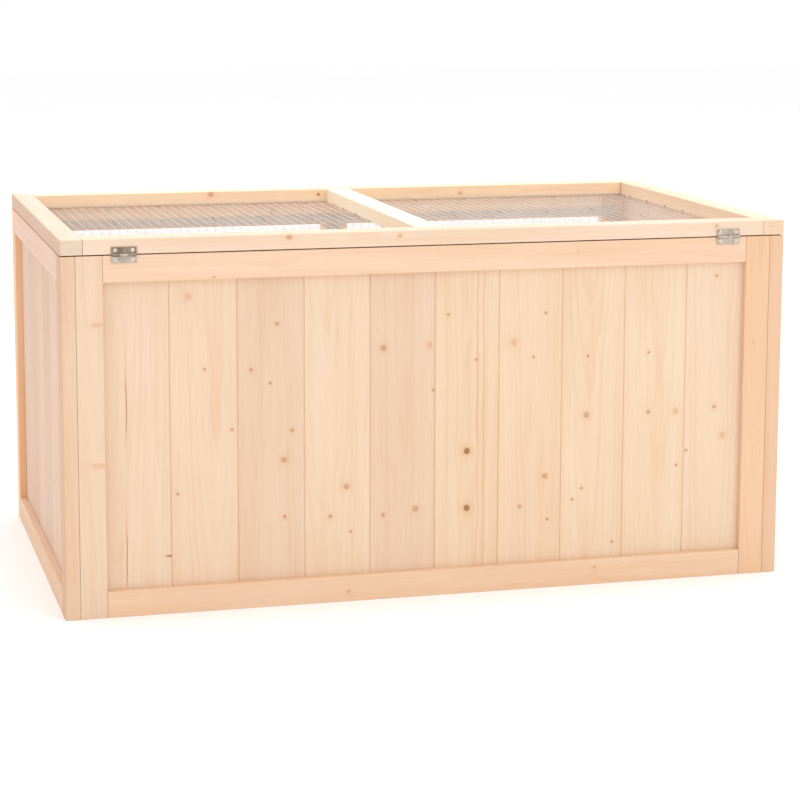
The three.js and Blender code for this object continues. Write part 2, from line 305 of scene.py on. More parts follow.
    # cut ends drink in light between the rings
    poreSpot = doVector(tree, "MULTIPLY", place, (1500.0, 1500.0, 1500.0))
    pore = remap(tree, addNoise(tree, poreSpot, 1.0, 1, 0.5), 0.3, 0.7, 0.90, 1.0, False)
    endTone = mixColour(tree, 1.0, colour, (0.97, 0.94, 0.89, 1), "MULTIPLY")
    endTone = mixColour(tree, doMath(tree, "MULTIPLY", lineMask, 1.4), endTone, given["Late"], "MULTIPLY")
    poreTone = addNode(tree, "ShaderNodeCombineColor")
    for socket in poreTone.inputs:
        feed(tree, socket, pore)
    endTone = mixColour(tree, 1.0, endTone, poreTone.outputs[0], "MULTIPLY")
    colour = mixColour(tree, given["End"], colour, endTone, "MIX", 11)
    rough = remap(tree, streak, 0.2, 0.8, 0.56, 0.70, False, 10, 2)
    rough = doMath(tree, "ADD", rough, doMath(tree, "MULTIPLY", given["End"], 0.15), None, 11, 2)
    relief = doMath(tree, "MULTIPLY", fibre, 0.5, None, 9, 3)
    relief = doMath(tree, "ADD", relief, doMath(tree, "MULTIPLY", lineMask, 0.5), None, 10, 3)
    relief = doMath(tree, "SUBTRACT", relief, doMath(tree, "MULTIPLY", given["Dark"], 0.4), None, 11, 3)
    feed(tree, result["Color"], colour)
    feed(tree, result["Roughness"], rough)
    feed(tree, result["Height"], relief)
    return tree


knotGroup = buildKnotGroup()
firGroup = buildFirGroup()

knotSpread = 0.85 * millimetre  # a knot's dark part ends inside its stated size

firLook = {
    "pale": (234, 206, 180),
    "late": (214, 160, 118),
    "knotTone": (106, 66, 44),
    "ringGap": 4.2,  # millimetres
    "wander": 2.4,  # millimetres
    "pith": (0.02, 12, -60),  # lean per metre, then across and into the piece, millimetres
    "lines": 0.19,
    "mottle": 0.8,
    "relief": 0.25,
    "knots": (),
    "seed": 1.0,
    "joints": None,  # where the piece's two joints lie, in millimetres across from its middle
    # how strong the painted shade at the joints is
    "paintedJointShade": 0.12,
    "jointReach": (3.2, 0.4),  # millimetres from a joint where its painted shade starts and is full
    "endShade": 1.0,
    "order": None,  # axes along, across and through, worked out from the piece's box
}


def firMaterial(name, node, **changes):
    look = dict(firLook, **changes)
    low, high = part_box(node)
    centre = (low + high) / 2
    span = high - low
    # grain runs along the longest side; the widest face comes second
    order = look["order"] or sorted(range(3), key=lambda axis: -span[axis])
    material, tree, shader = newMaterial(name)
    place = addNode(tree, "ShaderNodeTexCoord", -8)
    local = doVector(tree, "SUBTRACT", place.outputs["Object"], tuple(centre), -7)
    parts = splitXYZ(tree, local, -6)
    facing = splitXYZ(tree, place.outputs["Normal"], -6, 2)
    cutEnd = remap(tree, doMath(tree, "ABSOLUTE", facing[order[0]]), 0.75, 0.95, 0, 1, True, -4, 2)
    along, across, deep = (parts[axis] for axis in order)
    vector, dark, halo = joinXYZ(tree, along, across, deep, -5), 0.0, 0.0
    column = -4
    for spotAlong, spotAcross, sizeAlong, sizeAcross, depth in look["knots"]:
        knot = addNode(tree, "ShaderNodeGroup", column, 0)
        column += 1
        knot.node_tree = knotGroup
        feed(tree, knot.inputs["Grain"], vector)
        knot.inputs["Spot"].default_value = (spotAlong * millimetre, spotAcross * millimetre, 0)
        knot.inputs["Size"].default_value = (sizeAlong * knotSpread, sizeAcross * knotSpread, 1)
        knot.inputs["Depth"].default_value = depth
        feed(tree, knot.inputs["Dark"], dark)
        feed(tree, knot.inputs["Halo"], halo)
        vector, dark, halo = knot.outputs[0], knot.outputs[1], knot.outputs[2]
    fir = addNode(tree, "ShaderNodeGroup", column + 1, 0)
    fir.node_tree = firGroup
    lean, pithAcross, pithDeep = look["pith"]
    values = {
        "Grain": vector, "Dark": dark, "Halo": halo,
        "Pith": (lean, pithAcross * millimetre, pithDeep * millimetre),
        "RingGap": look["ringGap"] * millimetre, "Wander": look["wander"] * millimetre,
        "Seed": look["seed"], "Lines": look["lines"], "Mottle": look["mottle"],
        "Pale": tone(*look["pale"]), "Late": tone(*look["late"]), "KnotTone": tone(*look["knotTone"]),
        "End": doMath(tree, "MULTIPLY", cutEnd, look["endShade"]),
    }
    for label, value in values.items():
        feed(tree, fir.inputs[label], value)
    if look["joints"]:
        # painted shade: the wood near each joint, where the V-groove lies in shade, is mixed toward the late
        # tone
        spans = [
            doMath(tree, "ABSOLUTE", doMath(tree, "SUBTRACT", across, joint * millimetre))
            for joint in look["joints"]
        ]
        nearest = doMath(tree, "MINIMUM", spans[0], spans[1])
        wide, narrow = (reach * millimetre for reach in look["jointReach"])
        shade = remap(tree, nearest, wide, narrow, 0, look["paintedJointShade"])
        feed(tree, fir.inputs["Edge"], shade)
    feed(tree, shader.inputs["Base Color"], fir.outputs["Color"])
    feed(tree, shader.inputs["Roughness"], fir.outputs["Roughness"])
    shader.inputs["Specular IOR Level"].default_value = 0.32
    addBump(tree, shader, fir.outputs["Height"], look["relief"], 0.3)
    return material


def dress(node, material):
    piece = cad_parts[node]
    piece.data.materials.clear()
    piece.data.materials.append(material)


def weldPiece(node):
    # joins the corners that the faces share
    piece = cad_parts[node]
    weld = piece.modifiers.new("weld", "WELD")
    weld.merge_threshold = 0.01 * millimetre
    return piece


def swell(node, amount):
    # boards take up damp, which closes most of the play between them
    piece = weldPiece(node)
    grown = piece.modifiers.new("damp", "DISPLACE")
    grown.mid_level = 0
    grown.strength = amount * millimetre


def soften(node, width):
    # the arris that sandpaper takes off a stick
    piece = weldPiece(node)
    bevel = piece.modifiers.new("softArris", "BEVEL")
    bevel.width = width * millimetre
    bevel.segments = 2
    bevel.limit_method = "ANGLE"
    bevel.angle_limit = math.radians(40)


# knots and marks: half height and half width in millimetres, then how dark it gets
knotKinds = {
    "pin": (2.5, 2.5, 0.72), "small": (4, 3.8, 0.6), "large": (6, 6, 0.58), "dark": (6.5, 6.3, 1.0),
    "faint": (7, 6, 0.4), "crack": (60, 0.9, 0.85), "dash": (1.8, 6, 0.95), "vein": (330, 1.0, 0.4),
    "streak": (28, 3, 0.13),
}

# rear wall boards; a knot is (height, place, kind), in tenths of the height between
# the rails and tenths of a board's width from its left joint

rearBoards = {
    "coverWidth": 90,  # millimetres
    "jointShift": 2,  # millimetres from the wall's middle to its middle joint
    "rightOfMiddle": 6,  # the board whose left joint is the middle one
    "tints": {
        1: (228, 203, 179), 2: (228, 201, 175), 3: (224, 197, 173), 4: (228, 203, 177), 5: (225, 198, 174),
        6: (228, 202, 174), 7: (230, 204, 177), 8: (230, 205, 178), 9: (230, 206, 179), 10: (230, 206, 181),
    },
    "stray": 3,  # millimetres either way from the tenths below
    "knots": {
        1: [(6, 3.5, "crack"), (1, 3.5, "crack"), (1, 9.7, "dash")],
        2: [(7, 5, "pin"), (9.5, 3, "faint"), (5, 9, "pin"), (3, 1, "pin")],
        3: [(8.5, 6, "small"), (7, 2, "small"), (6.5, 5, "pin"), (5, 8, "small"), (4, 7, "large"),
            (2, 7, "small")],
        4: [(3, 6.5, "large"), (2, 4, "small"), (1.5, 7, "pin"), (8, 5, "streak")],
        5: [(7.5, 2, "large"), (7.5, 9, "faint"), (6, 9.5, "pin"), (2, 2, "small"), (2, 7, "large"),
            (3, 4, "streak")],
        6: [(8.5, 2, "pin"), (7, 6.5, "pin"), (4, 5, "dark"), (2, 5, "dark"), (5, 6.5, "vein"),
            (5, 7.5, "vein"), (9, 5, "streak"), (7, 5, "streak")],
        7: [(8.5, 7.5, "pin"), (7.5, 2.5, "faint"), (7, 5.5, "pin"), (3, 7.5, "large"), (2, 3.5, "small"),
            (1.5, 8, "pin"), (5, 5, "streak")],
        8: [(7, 4, "pin"), (5, 4, "large"), (2.5, 3.5, "pin"), (2, 2, "pin"), (0.5, 8.5, "pin"),
            (8, 5, "streak")],
        9: [(7, 4, "pin"), (5, 4, "small"), (5, 8.5, "faint"), (3, 9, "pin")],
        10: [(5, 5, "small"), (4, 6.5, "faint"), (3.5, 0.3, "pin"), (9.5, 5, "pin")],
    },
    "grain": {
        # lean, pith across from the joint, pith depth, ring gap, wander, line strength
        1: (0.03, 20, -55, 4.5, 2.4, 0.18), 2: (0.02, 60, -48, 4.2, 2.2, 0.18),
        3: (0.01, 95, -50, 3.4, 1.8, 0.16), 4: (0.03, 30, -46, 4.6, 2.4, 0.15),
        5: (0.01, 46, -36, 4.0, 2.0, 0.19), 6: (0.02, 44, -21, 5.6, 3.2, 0.27),
        7: (0.03, 62, -44, 4.6, 2.6, 0.16), 8: (0.02, 38, -50, 4.2, 2.4, 0.17),
        9: (0.03, 52, -46, 4.4, 2.4, 0.16), 10: (0.02, 40, -40, 4.8, 2.8, 0.19),
    },
}


def boardLooks():
    names = [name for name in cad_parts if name.startswith("rear_board_")]
    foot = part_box("rear_bottom_rail")[1].z / millimetre
    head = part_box("rear_top_rail")[0].z / millimetre
    stray = rearBoards["stray"]
    cover = rearBoards["coverWidth"]
    for name in names:
        number = int(name.rsplit("_", 1)[1])
        low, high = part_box(name)
        middle = (low + high) / 2 / millimetre
        # the board's left joint, from the middle of the wall
        joint = rearBoards["jointShift"] + cover * (number - rearBoards["rightOfMiddle"])
        grain = rearBoards["grain"][number]
        chance = random.Random(number)
        knots = []
        for up, across, kind in rearBoards["knots"][number]:
            height = foot + (head - foot) * up / 10 + chance.uniform(-stray, stray)
            side = joint + cover * across / 10 + chance.uniform(-stray, stray) / 2
            knots.append((height - middle.z, side - middle.x, *knotKinds[kind]))
        dress(name, firMaterial(
            "firRearBoard" + str(number), name, pale=rearBoards["tints"][number], knots=knots,
            pith=(grain[0], joint + grain[1] - middle.x, grain[2]), ringGap=grain[3], wander=grain[4],
            lines=grain[5], seed=0.37 * number,
            joints=(joint - middle.x, joint + cover - middle.x),
        ))
        swell(name, boardSwell)


boardSwell = 0.17  # millimetres along the corners' normals

boardLooks()
print("rear boards finished")


# boards of the two end walls

endBoards = {
    # the left wall's boards are darker than the right's: partly their own tone, partly painted shade for the
    # side that gets less light
    "left": {"pale": (217, 188, 168), "lines": 0.15},
    "right": {"pale": (234, 208, 182), "lines": 0.16},
    "shades": (0, -4, 2, -2, 3, -1),  # small steps of tone from board to board
    "knots": (
        ((90, -12, 3, 3, 0.7), (-60, 14, 3, 3, 0.5)),
        ((150, 10, 3, 4, 0.6), (20, -18, 2.5, 2.5, 0.6), (-130, 5, 3.5, 3, 0.6)),
        ((40, 20, 4, 4, 0.6),),
        ((110, -22, 3, 3, 0.7), (-40, -6, 4, 5, 0.5)),
        ((170, 0, 3, 3, 0.5), (-95, 24, 3, 3, 0.7)),
        ((60, 12, 4, 3.5, 0.7), (-150, -10, 3, 3, 0.5)),
    ),
}


def endBoardLooks():
    for side in ("left", "right"):
        look = endBoards[side]
        names = [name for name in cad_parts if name.startswith(side + "_board_")]
        for name in names:
            number = int(name.rsplit("_", 1)[1])
            turn = (number - 1) % len(endBoards["shades"])
            shade = endBoards["shades"][turn]
            pale = tuple(value + shade for value in look["pale"])
            spread = 1 if side == "left" else -1
            knots = [(spread * knot[0],) + knot[1:] for knot in endBoards["knots"][turn]]
            dress(name, firMaterial(
                "fir" + side.capitalize() + "Board" + str(number), name, pale=pale, knots=knots,
                pith=(0.02 * spread, 30 - 11 * number, -44), lines=look["lines"],
                seed=5.1 + 0.61 * number + spread,
            ))
            swell(name, boardSwell)


endBoardLooks()
print("end wall boards finished")


# frame sticks of the walls; two outer faces, here and on the lid, take the joints' painted shade as sides
# that get less light, and the 90 beside them is a joint that lies off the stick

stickLooks = {
    "rear_left_stile": {"pale": (227, 200, 175), "lines": 0.14,
                        "knots": ((150, 11, 4, 14, 0.3), (-35, 9, 5, 14, 0.3))},
    "rear_right_stile": {"pale": (229, 192, 158), "knots": ((90, -4, 3, 2.5, 0.4),), "lines": 0.15},
    "rear_top_rail": {"pale": (234, 203, 176), "lines": 0.15,
                      "knots": ((-300, -15, 1.5, 1.5, 0.9), (200, 4, 3, 3, 0.25))},
    "rear_bottom_rail": {"pale": (231, 198, 169), "lines": 0.16,
                         "knots": ((-120, -4, 4, 3, 0.5), (230, 6, 3, 3, 0.5))},
    "front_left_stile": {"pale": (236, 208, 180), "knots": ((40, 4, 3, 3, 0.6),), "lines": 0.15},
    "front_right_stile": {"pale": (236, 206, 178), "knots": ((-90, -5, 4, 3, 0.6),), "lines": 0.16},
    # painted light: the tone is raised near white to lighten its inside face
    "front_top_rail": {"pale": (254, 232, 204), "lines": 0.15,
                       "knots": ((-100, 5, 7, 6, 0.55), (250, -6, 4, 4, 0.6))},
    "front_bottom_rail": {"pale": (234, 206, 178), "knots": ((100, 3, 3, 3, 0.6),), "lines": 0.16},
    "front_centre_stile": {"pale": (236, 208, 180), "knots": ((120, -8, 3, 3, 0.6),), "lines": 0.15},
    "left_front_stile": {"pale": (238, 194, 157), "knots": (), "lines": 0.14},
    # painted shade: this stick's outer face is darkened toward a deeper late tone, as the side that gets less
    # light
    "left_rear_stile": {"pale": (224, 194, 167), "late": (190, 144, 115), "knots": (), "lines": 0.12,
                        "order": (2, 0, 1), "joints": (-10, 90), "paintedJointShade": 0.4},
    "left_top_rail": {"pale": (225, 195, 178), "knots": ((60, -4, 3, 3, 0.5),), "lines": 0.14},
    "left_bottom_rail": {"pale": (229, 196, 169), "knots": ((-90, 5, 3, 3, 0.5),), "lines": 0.14},
    "right_front_stile": {"pale": (236, 206, 178), "knots": ((-60, 4, 3, 3, 0.6),), "lines": 0.14},
    "right_rear_stile": {"pale": (225, 188, 157), "knots": (), "lines": 0.14},
    "right_top_rail": {"pale": (238, 210, 182), "knots": ((200, -10, 5, 4, 0.7),), "lines": 0.15},
    "right_bottom_rail": {"pale": (234, 204, 176), "knots": ((110, 4, 3, 3, 0.6),), "lines": 0.15},
}
stickArris = 0.6  # millimetres

for count, (node, look) in enumerate(stickLooks.items()):
    name = "fir" + "".join(word.capitalize() for word in node.split("_"))
    pith = (0.02, 9 - 5 * (count % 5), -34 - 4 * (count % 3))
    dress(node, firMaterial(name, node, seed=9.3 + 0.83 * count, pith=pith, **look))
    soften(node, stickArris)
print("wall frames finished")


# lid frame

lidLooks = {
    "lid_rear_rail": {"pale": (232, 208, 186), "lines": 0.15, "order": (0, 2, 1),
                      "knots": ((-200, 6, 6, 4, 0.6), (-50, 4, 4, 3, 0.55), (400, 4, 3, 3, 0.55))},
    # painted light: the tone is raised near white to lighten its inside face
    "lid_front_rail": {"pale": (254, 230, 200), "lines": 0.15, "order": (0, 2, 1),
                       "knots": ((-200, 6, 6, 5, 0.5), (-30, 2, 3, 3, 0.9), (200, -2, 4, 4, 0.5))},
    # painted shade: the rail's outer side face is darkened toward a deeper late tone as the side that gets
    # less light, while its top keeps the paler tone
    "lid_left_rail": {"pale": (224, 207, 190), "late": (196, 150, 122), "lines": 0.14,
                      "knots": ((120, 3, 3, 3, 0.4),),
                      "joints": (-15, 90), "paintedJointShade": 0.6, "endShade": 0.3},
    "lid_right_rail": {"pale": (240, 216, 192), "lines": 0.14, "knots": ((170, -3, 3.5, 4, 0.7),)},
    # painted light: the bar's tone is raised near white for its top, which is lit from above
    "lid_centre_bar": {"pale": (254, 241, 219), "lines": 0.14, "knots": ((-90, 6, 3, 3, 0.4),)},
}
lidArris = 0.8  # millimetres

for count, (node, look) in enumerate(lidLooks.items()):
    name = "fir" + "".join(word.capitalize() for word in node.split("_"))
    pith = (0.015, 6 - 4 * count, -38 + 3 * count)
    dress(node, firMaterial(name, node, seed=31.7 + 0.91 * count, pith=pith, **look))
    soften(node, lidArris)
print("lid frame finished")


# floor of thin plywood: broad rotary-cut figure

plywoodLook = {"pale": (238, 208, 172), "late": (218, 176, 134), "figure": 6.0}


def plywoodMaterial():
    material, tree, shader = newMaterial("floorPlywood")
    place = addNode(tree, "ShaderNodeTexCoord", -8)
    stretched = doVector(tree, "MULTIPLY", place.outputs["Object"], (0.7, 5.0, 2.0), -7)
    sweep = addNoise(tree, stretched, 1.4, 3, 0.55, -6)
    bands = doMath(tree, "MULTIPLY", sweep, plywoodLook["figure"], None, -5)
    figure = doMath(tree, "FRACT", bands, None, None, -4)
    line = remap(tree, figure, 0.55, 0.95, 0, 1, True, -3)
    close = remap(tree, figure, 1.0, 0.96, 0, 1, True, -3, 1)
    line = doMath(tree, "MULTIPLY", doMath(tree, "MULTIPLY", line, close, None, -2), 0.22, None, -1)
    fibreSpot = doVector(tree, "MULTIPLY", place.outputs["Object"], (20.0, 900.0, 900.0), -7, 2)
    fibre = addNoise(tree, fibreSpot, 1.0, 2, 0.6, -6, 2)
    colour = mixColour(tree, line, tone(*plywoodLook["pale"]), tone(*plywoodLook["late"]), "MIX", 0)
    fibreTone = mixColour(tree, remap(tree, fibre, 0.3, 0.85), (1, 1, 1, 1), (0.88, 0.85, 0.80, 1), "MIX", 1)
    colour = mixColour(tree, 0.9, colour, fibreTone, "MULTIPLY", 2)
    feed(tree, shader.inputs["Base Color"], colour)
    feed(tree, shader.inputs["Roughness"], remap(tree, fibre, 0.2, 0.8, 0.58, 0.72, False, 4, 1))
    addBump(tree, shader, fibre, 0.25, 0.2)
    return material


dress("floor_panel", plywoodMaterial())


# zinc on wire and hinges

def zincMaterial(name, tint, dull, rough, grainScale, metal, shine=0.5):
    material, tree, shader = newMaterial(name)
    place = addNode(tree, "ShaderNodeTexCoord", -8)
    bloom = addNoise(tree, place.outputs["Object"], grainScale, 3, 0.6, -7)
    cloud = addNoise(tree, place.outputs["Object"], grainScale / 6, 2, 0.5, -7, 1)
    fine, broad = doMath(tree, "MULTIPLY", bloom, 0.6), doMath(tree, "MULTIPLY", cloud, 0.4)
    share = doMath(tree, "ADD", fine, broad, None, -5)
    colour = mixColour(tree, remap(tree, share, 0.38, 0.64), tone(*tint), tone(*dull), "MIX", -3)
    feed(tree, shader.inputs["Base Color"], colour)
    shader.inputs["Metallic"].default_value = metal
    shader.inputs["Specular IOR Level"].default_value = shine
    uneven = remap(tree, share, 0.3, 0.7, rough - 0.08, rough + 0.12, False, -3, 1)
    feed(tree, shader.inputs["Roughness"], uneven)
    addBump(tree, shader, bloom, 0.3, 0.1)
    return material


wireZinc = zincMaterial("wireZinc", (192, 182, 180), (168, 160, 158), 0.5, 700, 0.3)
# painted highlight: the hem is the same wire as the sheet, its zinc painted much brighter where the folded
# wires catch the light
hemPaintedHighlightZinc = zincMaterial("hemPaintedHighlightZinc", (244, 238, 242), (222, 216, 222), 0.5, 700, 0.25)
# painted shade: the lid's wire is a dull tan, darker than the wall wire, so it does not read bright under the
# light from above
lidPaintedShadeZinc = zincMaterial("lidPaintedShadeZinc", (200, 176, 160), (178, 156, 142), 0.8, 700, 0.0, 0.1)
stapleSteel = zincMaterial("stapleSteel", (150, 142, 138), (112, 106, 102), 0.36, 500, 0.6)
# one zinc in four tints, each matched to how its leaf is lit: the left lid leaf is much darker as painted
# shade
hingeLitAndShadedZinc = {
    "left_wall_leaf": zincMaterial("leftWallLeafZinc", (198, 186, 170), (166, 154, 140), 0.42, 420, 0.7),
    "left_lid_leaf": zincMaterial("leftLidLeafPaintedShadeZinc", (156, 138, 120), (120, 106, 90), 0.42, 420, 0.7),
    "right_wall_leaf": zincMaterial("rightWallLeafZinc", (206, 192, 176), (170, 156, 142), 0.42, 420, 0.7),
    "right_lid_leaf": zincMaterial("rightLidLeafZinc", (201, 184, 170), (160, 146, 132), 0.42, 420, 0.7),
}
pinSteel = zincMaterial("pinSteel", (226, 220, 212), (190, 184, 176), 0.30, 900, 0.8)
screwZinc = zincMaterial("screwZinc", (228, 222, 214), (200, 194, 186), 0.38, 900, 0.7)

for leaf, material in hingeLitAndShadedZinc.items():
    dress("hinge_" + leaf, material)
for side in ("left", "right"):
    dress("hinge_" + side + "_pin", pinSteel)
print("metal finished")


# Geometry Nodes helpers

def newTree(name, inputs):
    tree = bpy.data.node_groups.new(name, "GeometryNodeTree")
    tree.is_modifier = True
    tree.interface.new_socket("Geometry", in_out="INPUT", socket_type="NodeSocketGeometry")
    for label, kind in inputs:
        tree.interface.new_socket(label, in_out="INPUT", socket_type="NodeSocket" + kind)
    tree.interface.new_socket("Geometry", in_out="OUTPUT", socket_type="NodeSocketGeometry")
    entry = addNode(tree, "NodeGroupInput", -8)
    leave = addNode(tree, "NodeGroupOutput", 12)
    return tree, entry.outputs, leave.inputs[0]


def closeTree(tree, given, result, shape):
    last = addNode(tree, "GeometryNodeRealizeInstances", 8)
    feed(tree, last.inputs[0], shape)
    paint = addNode(tree, "GeometryNodeSetMaterial", 9)
    feed(tree, paint.inputs["Geometry"], last.outputs[0])
    feed(tree, paint.inputs["Material"], given["Material"])
    feed(tree, result, paint.outputs[0])


def scatter(tree, given, result, shape, least, most):
    # a copy on each point, facing as the point's aim says, then spun by a random angle
    aim = addNode(tree, "GeometryNodeInputNamedAttribute", 0, 5, data_type="FLOAT_VECTOR")
    aim.inputs["Name"].default_value = "aim"
    copies = addNode(tree, "GeometryNodeInstanceOnPoints", 2)
    feed(tree, copies.inputs["Points"], given["Geometry"])
    feed(tree, copies.inputs["Instance"], shape)
    feed(tree, copies.inputs["Rotation"], aim.outputs["Attribute"])
    loose = addNode(tree, "FunctionNodeRandomValue", 2, 4, data_type="FLOAT")
    floats = [socket for socket in loose.inputs if socket.type == "VALUE"]
    feed(tree, floats[0], least)
    feed(tree, floats[1], most)
    feed(tree, loose.inputs["Seed"], given["Seed"])
    angle = [socket for socket in loose.outputs if socket.type == "VALUE"][0]
    spin = addNode(tree, "GeometryNodeRotateInstances", 4)
    feed(tree, spin.inputs["Instances"], copies.outputs[0])
    feed(tree, spin.inputs["Rotation"], joinXYZ(tree, 0, 0, angle, 3, 4))
    closeTree(tree, given, result, spin.outputs[0])


def grow(name, tree, host, values):
    maker = bpy.data.objects.new(name + "Maker", host)
    scene.collection.objects.link(maker)
    modifier = maker.modifiers.new(name, "NODES")
    modifier.node_group = tree
    for item in tree.interface.items_tree:
        if item.in_out == "INPUT" and item.name in values:
            modifier[item.identifier] = values[item.name]
    bpy.context.view_layer.update()
    graph = bpy.context.evaluated_depsgraph_get()
    mesh = bpy.data.meshes.new_from_object(maker.evaluated_get(graph))
    bpy.data.objects.remove(maker)
    mesh.name = name
    piece = bpy.data.objects.new(name, mesh)
    scene.collection.objects.link(piece)
    return piece


def hostPoints(name, spots):
    # one loose vertex for each copy, with the way it faces kept as an attribute
    mesh = bpy.data.meshes.new(name)
    mesh.from_pydata([spot for spot, aim in spots], [], [])
    aims = mesh.attributes.new("aim", "FLOAT_VECTOR", "POINT")
    for index, (spot, aim) in enumerate(spots):
        aims.data[index].vector = aim
    return mesh


# welded wire sheets

def wireSheetTree():
    tree, given, result = newTree("weldedWire", [
        ("Width", "Float"), ("Height", "Float"), ("Pitch", "Float"), ("Wire", "Float"), ("Waver", "Float"),
        ("Step", "Float"), ("Turn", "Vector"), ("Place", "Vector"), ("Material", "Material"),
    ])
    profile = addNode(tree, "GeometryNodeCurvePrimitiveCircle", -4, 6)
    profile.inputs["Resolution"].default_value = 6
    feed(tree, profile.inputs["Radius"], doMath(tree, "MULTIPLY", given["Wire"], 0.5, None, -5, 6))
    layer = doMath(tree, "MULTIPLY", given["Wire"], 0.46, None, -6, 5)
    runs = []
    for row, (spread, length, side) in enumerate((("Width", "Height", 1), ("Height", "Width", -1))):
        fitting = doMath(tree, "DIVIDE", given[spread], given["Pitch"], None, -7, row * 3)
        count = doMath(tree, "FLOOR", fitting)
        gaps = doMath(tree, "SUBTRACT", count, 1)
        first = doMath(tree, "MULTIPLY", doMath(tree, "MULTIPLY", gaps, given["Pitch"]), -0.5)
        half = doMath(tree, "MULTIPLY", given[length], 0.5)
        level = doMath(tree, "MULTIPLY", layer, side)
        line = addNode(tree, "GeometryNodeMeshLine", -3, row * 3)
        wire = addNode(tree, "GeometryNodeCurvePrimitiveLine", -3, row * 3 + 1)
        back = doMath(tree, "MULTIPLY", half, -1)
        if side > 0:
            start, offset = joinXYZ(tree, first, 0, level), joinXYZ(tree, given["Pitch"], 0, 0)
            low, high = joinXYZ(tree, 0, back, 0), joinXYZ(tree, 0, half, 0)
        else:
            start, offset = joinXYZ(tree, 0, first, level), joinXYZ(tree, 0, given["Pitch"], 0)
            low, high = joinXYZ(tree, back, 0, 0), joinXYZ(tree, half, 0, 0)
        feed(tree, line.inputs["Count"], count)
        feed(tree, line.inputs["Start Location"], start)
        feed(tree, line.inputs["Offset"], offset)
        feed(tree, wire.inputs["Start"], low)
        feed(tree, wire.inputs["End"], high)
        cut = addNode(tree, "GeometryNodeResampleCurve", -2, row * 3 + 1, mode="LENGTH")
        feed(tree, cut.inputs["Curve"], wire.outputs[0])
        feed(tree, cut.inputs["Length"], given["Step"])
        tube = addNode(tree, "GeometryNodeCurveToMesh", -1, row * 3 + 1)
        feed(tree, tube.inputs["Curve"], cut.outputs[0])
        feed(tree, tube.inputs["Profile Curve"], profile.outputs[0])
        tube.inputs["Fill Caps"].default_value = True
        copies = addNode(tree, "GeometryNodeInstanceOnPoints", 0, row * 3)
        feed(tree, copies.inputs["Points"], line.outputs[0])
        feed(tree, copies.inputs["Instance"], tube.outputs[0])
        runs.append(copies.outputs[0])
    both = addNode(tree, "GeometryNodeJoinGeometry", 2)
    for run in runs:
        tree.links.new(run, both.inputs[0])
    real = addNode(tree, "GeometryNodeRealizeInstances", 3)
    feed(tree, real.inputs[0], both.outputs[0])
    # hand-cut sheet never lies dead flat
    spot = addNode(tree, "GeometryNodeInputPosition", 2, 3)
    rise = doMath(tree, "SUBTRACT", addNoise(tree, spot.outputs[0], 7, 1, 0.5, 3, 3), 0.5)
    rise = doMath(tree, "MULTIPLY", rise, given["Waver"], None, 4, 3)
    drift = doMath(tree, "SUBTRACT", addNoise(tree, spot.outputs[0], 34, 1, 0.5, 3, 4), 0.5)
    drift = doMath(tree, "MULTIPLY", drift, given["Waver"], None, 4, 4)
    move = addNode(tree, "GeometryNodeSetPosition", 5)
    feed(tree, move.inputs["Geometry"], real.outputs[0])
    feed(tree, move.inputs["Offset"], joinXYZ(tree, drift, drift, rise, 5, 3))
    turn = addNode(tree, "GeometryNodeTransform", 6)
    feed(tree, turn.inputs["Geometry"], move.outputs[0])
    feed(tree, turn.inputs["Rotation"], given["Turn"])
    feed(tree, turn.inputs["Translation"], given["Place"])
    closeTree(tree, given, result, turn.outputs[0])
    return tree


wireMesh = {
    "pitch": 13.6,
    "wire": 0.6,
    "waver": 0.6,  # how far the sheet strays from flat
    "step": 34,  # spacing of the bends along a wire
    "hemPitch": 1.5,  # the folded edge, several layers deep
    "hemWidth": 15,
    "hemLift": 0.7,  # from the sheet into the hutch
    "turnUp": 5,  # the lid sheets' long edges stand up inside the frame
    "turnUpPitch": 2.6,
    "turnUpGap": 0.7,
    "wallSheets": ("front_mesh_left", "front_mesh_right"),
    "lidSheets": ("lid_mesh_left", "lid_mesh_right"),
}


def mergePieces(name, pieces):
    whole = bmesh.new()
    materials = []
    for piece in pieces:
        material = piece.data.materials[0]
        if material not in materials:
            materials.append(material)
        before = len(whole.faces)
        whole.from_mesh(piece.data)
        whole.faces.ensure_lookup_table()
        for face in whole.faces[before:]:
            face.material_index = materials.index(material)
    mesh = bpy.data.meshes.new(name)
    whole.to_mesh(mesh)
    whole.free()
    for material in materials:
        mesh.materials.append(material)
    for piece in pieces:
        old = piece.data
        bpy.data.objects.remove(piece)
        bpy.data.meshes.remove(old)
    merged = bpy.data.objects.new(name, mesh)
    scene.collection.objects.link(merged)
    return merged


